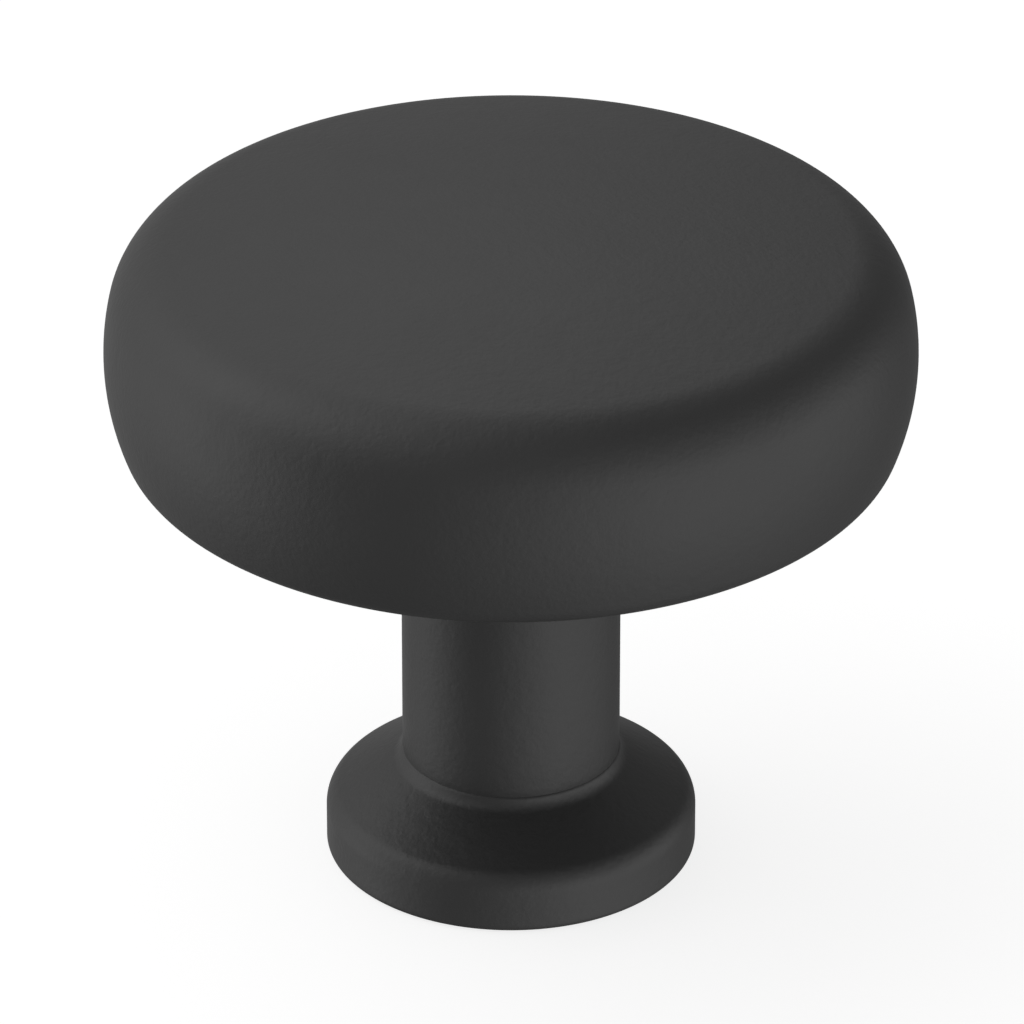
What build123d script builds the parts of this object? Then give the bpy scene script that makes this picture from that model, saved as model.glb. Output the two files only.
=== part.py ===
from build123d import *
from math import radians, sqrt, tan
import os

# Round cabinet knob, cast in one piece: low-crowned head, straight stem and flared foot.
# Millimetres. The mounting face is on Z = 0 and the knob stands out from the door along +Z.

# Head
overall_height = 28.13  # mounting face to the middle of the crowned top
head_diameter = 32.0  # across the widest part of the bulging side
head_thickness = 9.96  # underside to the middle of the top
crown_radius = 66.0  # arc of the top, seen in section
belly_height = 4.15  # underside up to the widest part of the side
side_bulge_radius = 9.45  # arc of the side, seen in section
shoulder_radius = 3.11  # side into top
lower_edge_radius = 1.3  # side into underside

# Stem
stem_diameter = 8.73
neck_bevel = 0.8  # chamfer, stem into underside of the head
collar_ledge = 0.05  # how far the collar at the stem's foot stands out
collar_height = 0.56  # collar's top above the corner where its wall and the flare would meet
collar_fillet_radius = 0.7  # collar's wall into flare

# Foot
foot_diameter = 14.88
rim_height = 2.33  # where the rim's side and the flare would meet unrounded
rim_radius = 1.05  # rim's side into flare
flare_slope = 30.2  # degrees above the mounting face
foot_edge_break = 0.3  # chamfer, rim's side into mounting face

# Tapped screw hole
thread_diameter = 4.0
thread_pitch = 0.7
hole_depth = 14.0  # full width, before the drill's point
mouth_relief = 0.3  # countersink beyond the thread, each side
countersink_angle = 90.0
drill_point_angle = 118.0

# Heights and radii that follow from the sizes above
head_radius = head_diameter / 2
underside_z = overall_height - head_thickness
belly_z = underside_z + belly_height
bulge_centre_r = head_radius - side_bulge_radius
crown_centre_z = overall_height - crown_radius
stem_radius = stem_diameter / 2
collar_radius = stem_radius + collar_ledge
foot_radius = foot_diameter / 2
flare_top_z = rim_height + (foot_radius - collar_radius) * tan(radians(flare_slope))
collar_top_z = flare_top_z + collar_height
drill_radius = (thread_diameter - thread_pitch) / 2
mouth_radius = thread_diameter / 2 + mouth_relief
countersink_depth = (mouth_radius - drill_radius) / tan(radians(countersink_angle / 2))
drill_tip_z = hole_depth + drill_radius / tan(radians(drill_point_angle / 2))


def head_section():
    """Half the head's section: a slot with round ends, cut by crown, underside and axis."""
    with BuildSketch(Plane.XZ) as section:
        with Locations((0, belly_z)):
            SlotOverall(head_diameter, 2 * side_bulge_radius)
        with Locations((0, crown_centre_z)):
            Circle(crown_radius, mode=Mode.INTERSECT)
        with Locations((0, underside_z)):
            Rectangle(head_diameter, head_diameter, align=(Align.MIN, Align.MIN), mode=Mode.INTERSECT)
    return section.sketch


def body():
    """The outside of the knob: half its section, rounded corner by corner and turned about Z."""
    foot_edge = (foot_radius, 0)
    rim_edge = (foot_radius, rim_height)
    flare_top = (collar_radius, flare_top_z)
    collar_edge = (collar_radius, collar_top_z)
    stem_foot = (stem_radius, collar_top_z)
    neck = (stem_radius, underside_z)
    lower_edge = (bulge_centre_r + sqrt(side_bulge_radius**2 - belly_height**2), underside_z)
    shoulder = (head_radius, overall_height)
    rounding = [
        (rim_edge, rim_radius),
        (flare_top, collar_fillet_radius),
        (lower_edge, lower_edge_radius),
        (shoulder, shoulder_radius),
    ]
    bevels = [(foot_edge, foot_edge_break), (neck, neck_bevel)]
    with BuildPart() as turned:
        with BuildSketch(Plane.XZ) as section:
            with BuildLine():
                Polyline(
                    (0, 0),
                    foot_edge,
                    rim_edge,
                    flare_top,
                    collar_edge,
                    stem_foot,
                    neck,
                    (0, underside_z),
                    close=True,
                )
            make_face()
            add(head_section())
            for corner, radius in rounding:
                fillet(section.vertices().sort_by_distance(corner)[0], radius)
            for corner, length in bevels:
                chamfer(section.vertices().sort_by_distance(corner)[0], length)
        revolve(axis=Axis.Z)
    return turned.part


def screw_hole():
    """The tapping drill's blind hole, with a countersunk mouth and the cone of the drill's point."""
    with BuildPart() as drilled:
        with BuildSketch(Plane.XZ):
            with BuildLine():
                Polyline(
                    (0, 0),
                    (mouth_radius, 0),
                    (drill_radius, countersink_depth),
                    (drill_radius, hole_depth),
                    (0, drill_tip_z),
                    close=True,
                )
            make_face()
        revolve(axis=Axis.Z)
    return drilled.part


os.makedirs("parts", exist_ok=True)
knob = body() - screw_hole()
export_step(knob, "parts/knob.step")
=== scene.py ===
import bmesh
import bpy
from math import acos, atan2, cos, degrees, fsum, log, pi, radians, sin, sqrt, tan
from mathutils import Matrix, Vector
from mathutils.geometry import intersect_sphere_sphere_2d


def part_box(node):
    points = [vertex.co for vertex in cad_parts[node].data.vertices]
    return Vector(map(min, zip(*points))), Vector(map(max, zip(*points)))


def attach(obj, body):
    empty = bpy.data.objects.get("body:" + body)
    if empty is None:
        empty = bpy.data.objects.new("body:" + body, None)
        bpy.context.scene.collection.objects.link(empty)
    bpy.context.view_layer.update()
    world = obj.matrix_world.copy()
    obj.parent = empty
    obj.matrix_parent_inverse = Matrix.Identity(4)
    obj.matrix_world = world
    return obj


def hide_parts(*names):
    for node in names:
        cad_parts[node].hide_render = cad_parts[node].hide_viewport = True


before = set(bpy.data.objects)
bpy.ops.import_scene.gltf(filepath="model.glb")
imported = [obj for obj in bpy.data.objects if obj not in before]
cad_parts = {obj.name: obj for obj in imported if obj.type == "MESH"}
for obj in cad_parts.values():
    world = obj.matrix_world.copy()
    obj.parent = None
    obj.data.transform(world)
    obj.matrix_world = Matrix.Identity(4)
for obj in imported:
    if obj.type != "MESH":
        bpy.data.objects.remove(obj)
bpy.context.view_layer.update()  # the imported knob, its one body and its record
mm = 0.001
mergeDistance = 1e-4  # millimetres, because the knob and the tap are drawn in them
print("frame loaded, nodes:", sorted(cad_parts))


def hexToLinear(hexColour):
    channels = [int(hexColour[i:i + 2], 16) / 255 for i in (1, 3, 5)]
    linear = [c / 12.92 if c <= 0.04045 else ((c + 0.055) / 1.055) ** 2.4 for c in channels]
    return (*linear, 1.0)


def addNode(tree, kind, settings=None, links=None):
    node = tree.nodes.new(kind)
    for name, value in (settings or {}).items():
        if isinstance(name, str) and hasattr(node, name):
            setattr(node, name, value)
        else:
            node.inputs[name].default_value = value
    for name, source in (links or {}).items():
        tree.links.new(source, node.inputs[name])
    return node


def meshObject(name, bm):
    mesh = bpy.data.meshes.new(name)
    bm.to_mesh(mesh)
    bm.free()
    made = bpy.data.objects.new(name, mesh)
    bpy.context.scene.collection.objects.link(made)
    return made


# Knob body: half its section is drawn in millimetres and turned about Z
nodeLow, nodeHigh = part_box("knob")
knobBody = {
    "headDiameter": (nodeHigh.x - nodeLow.x) / mm,
    "overallHeight": nodeHigh.z / mm,
    "headThickness": 9.96,  # underside to the middle of the top
    "crownRadius": 66.0,
    "bellyHeight": 4.15,  # underside up to the widest part of the side
    "sideBulgeRadius": 9.45,
    "shoulderRadius": 3.11,
    "lowerEdgeRadius": 1.3,
    "stemDiameter": 8.73,
    "neckFillet": 1.2,  # adds as much as the bevel that stands for it in the solids
    "collarLedge": 0.035,  # out from the stem, where the collar's fillet would end upright
    "collarFillet": 0.7,
    "collarLean": 14.0,  # degrees off upright where the fillet gives way to the collar's round
    "collarRound": 0.2,  # radius of the collar's top under the coat's film
    "grooveDepth": 0.0175,  # in from the stem, above the collar
    "grooveDraw": 6.0,  # degrees off upright where the stem draws into the groove
    "footDiameter": 14.88,
    "rimHeight": 2.33,  # where the rim's side and the flare would meet unrounded
    "rimRadius": 1.05,
    "flareSlope": 30.2,  # degrees above the mounting face
    "footEdgeRadius": 0.34,
    "drillDiameter": 3.3,
    "holeDepth": 14.0,  # full width, before the drill's point
    "mouthDiameter": 4.6,
    "drillPointAngle": 118.0,
    "stepsRound": 256,
    "arcStep": {"edge": 6.0, "round": 3.0, "side": 1.5, "crown": 0.75},  # degrees of arc to a face
    "edgeHold": 0.12,  # narrow faces beside an arc keep the flats flat
    "sharpAngle": 40.0,  # degrees between faces, past which their edge is shaded sharp
}


def lineTo(bm, start, r, z):
    end = bmesh.ops.extrude_vert_indiv(bm, verts=[start])["verts"][0]
    end.co = (r, 0, z)
    return end


def runTo(bm, start, r, z, hold):
    begin = start.co.copy()
    way = Vector((r, 0, z)) - begin
    for share in (hold / way.length, 1 - hold / way.length):
        point = begin + way * share
        start = lineTo(bm, start, point.x, point.z)
    return lineTo(bm, start, r, z)


def arcAbout(bm, start, r, z, fromAngle, toAngle, arcStep, fewestSteps=3):
    steps = max(fewestSteps, round(abs(toAngle - fromAngle) / arcStep))
    made = bmesh.ops.spin(bm, geom=[start], cent=(r, 0, z), axis=(0, -1, 0),
                          angle=radians(toAngle - fromAngle), steps=steps)
    return next(v for v in made["geom_last"] if isinstance(v, bmesh.types.BMVert))


def angleOf(way):
    return degrees(atan2(way.y, way.x))


def drawSection(bm, form):
    hold, arcStep = form["edgeHold"], form["arcStep"]
    headR, stemR, footR = form["headDiameter"] / 2, form["stemDiameter"] / 2, form["footDiameter"] / 2
    drillR, mouthR = form["drillDiameter"] / 2, form["mouthDiameter"] / 2
    top = form["overallHeight"]
    underside = top - form["headThickness"]
    slope = form["flareSlope"]
    # screw hole, from the drill's point down to the mouth, countersunk at 90 degrees
    pointHeight = drillR / tan(radians(form["drillPointAngle"] / 2))
    pen = bm.verts.new((0, 0, form["holeDepth"] + pointHeight))
    pen = lineTo(bm, pen, drillR, form["holeDepth"])
    pen = lineTo(bm, pen, drillR, mouthR - drillR)
    pen = lineTo(bm, pen, mouthR, 0)
    # mounting face and rim
    edge, rim = form["footEdgeRadius"], form["rimRadius"]
    rimTop = form["rimHeight"] - rim * tan(radians((90 - slope) / 2))
    pen = runTo(bm, pen, footR - edge, 0, hold)
    pen = arcAbout(bm, pen, footR - edge, edge, -90, 0, arcStep["edge"])
    pen = runTo(bm, pen, footR, rimTop, hold)
    pen = arcAbout(bm, pen, footR - rim, rimTop, 0, 90 - slope, arcStep["round"])
    # flare, and the fillet that turns it up to the collar
    collarR = stemR + form["collarLedge"]
    flareTop = form["rimHeight"] + (footR - collarR) * tan(radians(slope))
    fillet, lean = form["collarFillet"], form["collarLean"]
    reach = fillet * tan(radians((90 - slope) / 2))
    filletAt = Vector((collarR + fillet, flareTop + reach))
    flareEndR = collarR + reach * cos(radians(slope))
    flareEndZ = flareTop - reach * sin(radians(slope))
    pen = runTo(bm, pen, flareEndR, flareEndZ, hold)
    pen = arcAbout(bm, pen, *filletAt, 270 - slope, 180 + lean, arcStep["round"])
    # collar's round top, and above it the fine groove that the stem draws into
    turnOver, draw = form["collarRound"], form["grooveDraw"]
    roundAt = filletAt - Vector((cos(radians(lean)), sin(radians(lean)))) * (fillet + turnOver)
    topAngle = degrees(acos((stemR - form["grooveDepth"] - roundAt.x) / turnOver))
    pen = arcAbout(bm, pen, *roundAt, lean, topAngle, arcStep["round"])
    swell = form["grooveDepth"] / (1 - cos(radians(draw)))
    swellZ = pen.co.z + swell * sin(radians(draw))
    pen = arcAbout(bm, pen, stemR - swell, swellZ, -draw, 0, arcStep["round"])
    # stem, and the fillet under the head
    neck = form["neckFillet"]
    pen = runTo(bm, pen, stemR, underside - neck, hold)
    pen = arcAbout(bm, pen, stemR + neck, underside - neck, 180, 90, arcStep["edge"])
    # head: underside, lower edge, bulging side, shoulder, crowned top
    lower, bulge = form["lowerEdgeRadius"], form["sideBulgeRadius"]
    shoulder, crown = form["shoulderRadius"], form["crownRadius"]
    bulgeAt = Vector((headR - bulge, underside + form["bellyHeight"]))
    crownAt = Vector((0, top - crown))
    lowerZ = underside + lower
    lowerAt = Vector((bulgeAt.x + sqrt((bulge - lower) ** 2 - (lowerZ - bulgeAt.y) ** 2), lowerZ))
    meets = intersect_sphere_sphere_2d(bulgeAt, bulge - shoulder, crownAt, crown - shoulder)
    shoulderAt = max(meets, key=lambda point: point.x)
    lowerAngle, shoulderAngle = angleOf(lowerAt - bulgeAt), angleOf(shoulderAt - bulgeAt)
    crownAngle = angleOf(shoulderAt - crownAt)
    pen = runTo(bm, pen, lowerAt.x, underside, hold)
    pen = arcAbout(bm, pen, *lowerAt, -90, lowerAngle, arcStep["round"])
    pen = arcAbout(bm, pen, *bulgeAt, lowerAngle, shoulderAngle, arcStep["side"])
    pen = arcAbout(bm, pen, *shoulderAt, shoulderAngle, crownAngle, arcStep["round"])
    arcAbout(bm, pen, *crownAt, crownAngle, 90, arcStep["crown"])


def turnKnob(form):
    bm = bmesh.new()
    drawSection(bm, form)
    bmesh.ops.spin(bm, geom=bm.verts[:] + bm.edges[:], cent=(0, 0, 0), axis=(0, 0, 1),
                   angle=2 * pi, steps=form["stepsRound"], use_merge=True)
    bmesh.ops.remove_doubles(bm, verts=bm.verts[:], dist=mergeDistance)
    bmesh.ops.recalc_face_normals(bm, faces=bm.faces[:])
    return meshObject("knob_body", bm)


# Screw thread: cut by a tap, which is one ridge's section spun up by its pitch each turn
screwThread = {
    "diameter": 4.0,
    "pitch": 0.7,
    "depth": 12.0,
    "flankAngle": 60.0,  # degrees between the two sides of a ridge
    "crestShare": 0.125,  # of the pitch, flat at the tap's widest
    "coreRadius": 1.5,  # inside the drilled wall
    "leadIn": 2,  # turns below the mounting face
    "stepsPerTurn": 48,
    "turn": 0.234,  # degrees, keeps the tap's edges off the knob's
}


def makeTap(thread):
    bm = bmesh.new()
    pitch, core, crest = thread["pitch"], thread["coreRadius"], thread["diameter"] / 2
    crestHalf = pitch * thread["crestShare"] / 2
    rootHalf = crestHalf + (crest - core) * tan(radians(thread["flankAngle"] / 2))
    ridge = (
        (core, pitch / 2 - rootHalf),
        (crest, pitch / 2 - crestHalf),
        (crest, pitch / 2 + crestHalf),
        (core, pitch / 2 + rootHalf),
        (core, pitch),
    )
    turns = round(thread["depth"] / pitch) + thread["leadIn"]
    low = -thread["leadIn"] * pitch
    pen = bm.verts.new((core, 0, low))
    for r, z in ridge:
        pen = lineTo(bm, pen, r, low + z)
    bmesh.ops.spin(bm, geom=bm.verts[:] + bm.edges[:], cent=(0, 0, 0), axis=(0, 0, 1),
                   dvec=(0, 0, pitch / thread["stepsPerTurn"]), angle=2 * pi * turns,
                   steps=turns * thread["stepsPerTurn"])
    bmesh.ops.remove_doubles(bm, verts=bm.verts[:], dist=mergeDistance)
    ends = bmesh.ops.holes_fill(bm, edges=[e for e in bm.edges if e.is_boundary], sides=0)["faces"]
    bmesh.ops.poke(bm, faces=ends)
    bmesh.ops.recalc_face_normals(bm, faces=bm.faces[:])
    bmesh.ops.rotate(bm, verts=bm.verts[:], cent=(0, 0, 0),
                     matrix=Matrix.Rotation(radians(thread["turn"]), 3, "Z"))
    return meshObject("tap", bm)


def alongSkew(verts):
    return fsum(v.co.x + v.co.y * sqrt(2) + v.co.z * sqrt(3) for v in verts)


def cutThread(knob, tap):
    cut = knob.modifiers.new("thread", "BOOLEAN")
    cut.operation, cut.solver, cut.object = "DIFFERENCE", "EXACT", tap
    graph = bpy.context.evaluated_depsgraph_get()
    threaded = bpy.data.meshes.new_from_object(knob.evaluated_get(graph))
    knob.modifiers.clear()
    # the cut leaves doubled points, slivers and faces with many corners
    bm = bmesh.new()
    bm.from_mesh(threaded)
    bmesh.ops.remove_doubles(bm, verts=bm.verts[:], dist=mergeDistance)
    bmesh.ops.dissolve_degenerate(bm, edges=bm.edges[:], dist=mergeDistance)
    bmesh.ops.triangulate(bm, faces=[face for face in bm.faces if len(face.verts) > 4])
    # it also lists them in another order each run, so they are put in order along a skew line
    bm.verts.sort(key=lambda vert: alongSkew([vert]))
    bm.edges.sort(key=lambda edge: alongSkew(edge.verts))
    bm.faces.sort(key=lambda face: alongSkew(face.verts))
    bm.to_mesh(threaded)
    bm.free()
    knob.data = threaded
    bpy.data.objects.remove(tap)


knob = turnKnob(knobBody)
cutThread(knob, makeTap(screwThread))
knob.data.transform(Matrix.Scale(mm, 4))
knob.data.polygons.foreach_set("use_smooth", [True] * len(knob.data.polygons))
knob.data.set_sharp_from_angle(angle=radians(knobBody["sharpAngle"]))
print("knob body turned and threaded:", len(knob.data.polygons), "faces")

# Matte black powder coat, sprayed on the casting as dust and baked to a film
powderCoat = {
    "colour": "#2c2c2c",
    "paleColour": "#2f2f2f",  # where the pigment lies a little thinner
    "ior": 1.5,
    "sheen": (0.43, 0.47),  # roughness of the film, lowest and highest
    "patternSize": {  # millimetres from one swell, patch or grain to the next
        "cloud": 4.0,
        "sheen": 1.5,
        "peel": 0.5,
        "grain": 0.2,  # coarser than the real dust, which is too fine to show
    },
    "patternDetail": 2.0,  # rounds of finer noise within each pattern
    "depth": {"peel": 0.02, "grain": 0.014},  # millimetres
}


def powderCoatMaterial(coat):
    material = bpy.data.materials.new("blackPowderCoatSprayedAndBaked")
    material.use_nodes = True
    tree = material.node_tree
    tree.nodes.clear()
    place = addNode(tree, "ShaderNodeTexCoord")
    pattern = {}
    for name, size in coat["patternSize"].items():
        noise = addNode(tree, "ShaderNodeTexNoise",
                        {"Scale": 1 / (size * mm), "Detail": coat["patternDetail"]},
                        {"Vector": place.outputs["Object"]})
        pattern[name] = noise.outputs["Fac"]
    # black pigment, in clouds too faint to be seen as a pattern
    colour = addNode(tree, "ShaderNodeMix", {"data_type": "RGBA"}, {0: pattern["cloud"]})
    colour.inputs["A"].default_value = hexToLinear(coat["colour"])
    colour.inputs["B"].default_value = hexToLinear(coat["paleColour"])
    # the film levels unevenly as it bakes, so the wide soft highlights vary a little
    low, high = coat["sheen"]
    sheen = addNode(tree, "ShaderNodeMapRange", {"To Min": low, "To Max": high},
                    {"Value": pattern["sheen"]})
    # low swells and fine grain make it look like baked dust and not like polished plastic
    normal = None
    for name, depth in coat["depth"].items():
        bump = addNode(tree, "ShaderNodeBump", {"Distance": depth * mm}, {"Height": pattern[name]})
        if normal is not None:
            tree.links.new(normal, bump.inputs["Normal"])
        normal = bump.outputs["Normal"]
    shader = addNode(tree, "ShaderNodeBsdfPrincipled", {"IOR": coat["ior"]}, {
        "Base Color": colour.outputs["Result"], "Roughness": sheen.outputs["Result"], "Normal": normal})
    addNode(tree, "ShaderNodeOutputMaterial", links={"Surface": shader.outputs["BSDF"]})
    return material


knob.data.materials.append(powderCoatMaterial(powderCoat))
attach(knob, "root")
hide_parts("knob")
print("powder coat on the knob")

# Camera: in front of the knob and above it
cameraView = {
    "elevation": 28.675,  # degrees
    "distance": 0.356,
    "aimHeight": 0.01502,
    "pixelsPerRadian": 8978.0,
    "imageSize": 1024,
    "axisAt": 511.05,  # pixel column of the knob's axis
    "sensorWidth": 36.0,
    "clip": (0.01, 10.0),
}


def placeCamera(view):
    data = bpy.data.cameras.new("camera")
    data.sensor_width = view["sensorWidth"]
    data.lens = view["pixelsPerRadian"] * view["sensorWidth"] / view["imageSize"]
    data.shift_x = 0.5 - view["axisAt"] / view["imageSize"]
    data.clip_start, data.clip_end = view["clip"]
    camera = bpy.data.objects.new("camera", data)
    bpy.context.scene.collection.objects.link(camera)
    tilt = radians(view["elevation"])
    aim = Vector((0, 0, view["aimHeight"]))
    camera.location = aim + Vector((0, -cos(tilt), sin(tilt))) * view["distance"]
    camera.rotation_euler = (pi / 2 - tilt, 0, 0)
    bpy.context.scene.camera = camera


placeCamera(cameraView)

# Studio: white paper under the knob, and large soft boxes round it
studio = {
    "paperSize": 3.0,
    "paperDrop": 0.00005,  # a hair under the mounting face, so that the two don't coincide
    "paperColour": "#a0a0a0",
    "paperGlow": 0.8,  # lifts the lit paper to white, so that only the shadow shows
    "lightColour": "#ffffff",
    "backdrop": 1.0,
    "softBoxes": {  # degrees round from the camera and up, degrees to half level, level
        "highLeft": {"azimuth": -98, "elevation": 45, "spread": 31, "level": 1.68},
        "lowLeft": {"azimuth": -88, "elevation": -14, "spread": 24, "level": 1.17},
        "lowFront": {"azimuth": 44, "elevation": -14, "spread": 40, "level": 1.42},
        "right": {"azimuth": 98, "elevation": 2, "spread": 19, "level": 0.79},
        "highBack": {"azimuth": 178, "elevation": 47, "spread": 18, "level": 0.88},
        "lowBack": {"azimuth": -162, "elevation": -15, "spread": 35, "level": 0.36},
    },
}


def layPaper(stage):
    bm = bmesh.new()
    bmesh.ops.create_grid(bm, x_segments=1, y_segments=1, size=stage["paperSize"] / 2)
    bmesh.ops.translate(bm, verts=bm.verts[:], vec=(0, 0, -stage["paperDrop"]))
    paper = meshObject("floor", bm)
    material = bpy.data.materials.new("whitePaper")
    material.use_nodes = True
    tree = material.node_tree
    tree.nodes.clear()
    matte = addNode(tree, "ShaderNodeBsdfDiffuse", {"Color": hexToLinear(stage["paperColour"])})
    glow = addNode(tree, "ShaderNodeEmission", {"Strength": stage["paperGlow"]})
    lit = addNode(tree, "ShaderNodeAddShader",
                  links={0: matte.outputs["BSDF"], 1: glow.outputs["Emission"]})
    # clear from below, so that the mounting face can be seen
    side = addNode(tree, "ShaderNodeNewGeometry")
    clear = addNode(tree, "ShaderNodeBsdfTransparent")
    seen = addNode(tree, "ShaderNodeMixShader", links={
        0: side.outputs["Backfacing"], 1: lit.outputs["Shader"], 2: clear.outputs["BSDF"]})
    addNode(tree, "ShaderNodeOutputMaterial", links={"Surface": seen.outputs["Shader"]})
    paper.data.materials.append(material)
    # the paper neither lights nor shades the knob
    paper.visible_diffuse = paper.visible_glossy = paper.visible_shadow = False


def lightStudio(stage):
    world = bpy.data.worlds.new("studio")
    bpy.context.scene.world = world
    world.use_nodes = True
    tree = world.node_tree
    tree.nodes.clear()
    place = addNode(tree, "ShaderNodeTexCoord")
    # each box is brightest in its middle, fades all round it and adds to those before it
    total = None
    for box in stage["softBoxes"].values():
        around, up = radians(box["azimuth"]), radians(box["elevation"])
        towards = (sin(around) * cos(up), -cos(around) * cos(up), sin(up))
        focus = log(2) / (1 - cos(radians(box["spread"])))
        facing = addNode(tree, "ShaderNodeVectorMath", {"operation": "DOT_PRODUCT", 1: towards},
                         {0: place.outputs["Generated"]})
        falloff = addNode(tree, "ShaderNodeMath", {"operation": "MULTIPLY_ADD", 1: focus, 2: -focus},
                          {0: facing.outputs["Value"]})
        glow = addNode(tree, "ShaderNodeMath", {"operation": "EXPONENT"}, {0: falloff.outputs["Value"]})
        level = addNode(tree, "ShaderNodeMath", {"operation": "MULTIPLY_ADD", 1: box["level"], 2: 0.0},
                        {0: glow.outputs["Value"]})
        if total is not None:
            tree.links.new(total.outputs["Value"], level.inputs[2])
        total = level
    lightColour = hexToLinear(stage["lightColour"])
    boxes = addNode(tree, "ShaderNodeBackground", {"Color": lightColour},
                    {"Strength": total.outputs["Value"]})
    backdrop = addNode(tree, "ShaderNodeBackground",
                       {"Color": lightColour, "Strength": stage["backdrop"]})
    # the camera sees the plain backdrop, and the coat's soft gloss sees the boxes, its only light
    ray = addNode(tree, "ShaderNodeLightPath")
    seen = addNode(tree, "ShaderNodeMath", {"operation": "MAXIMUM"},
                   {0: ray.outputs["Is Camera Ray"], 1: ray.outputs["Is Transmission Ray"]})
    mixed = addNode(tree, "ShaderNodeMixShader", links={
        0: seen.outputs["Value"], 1: boxes.outputs["Background"], 2: backdrop.outputs["Background"]})
    addNode(tree, "ShaderNodeOutputWorld", links={"Surface": mixed.outputs["Shader"]})


layPaper(studio)
lightStudio(studio)
bpy.context.scene.view_settings.view_transform = "Standard"
print("camera, floor and studio in place")
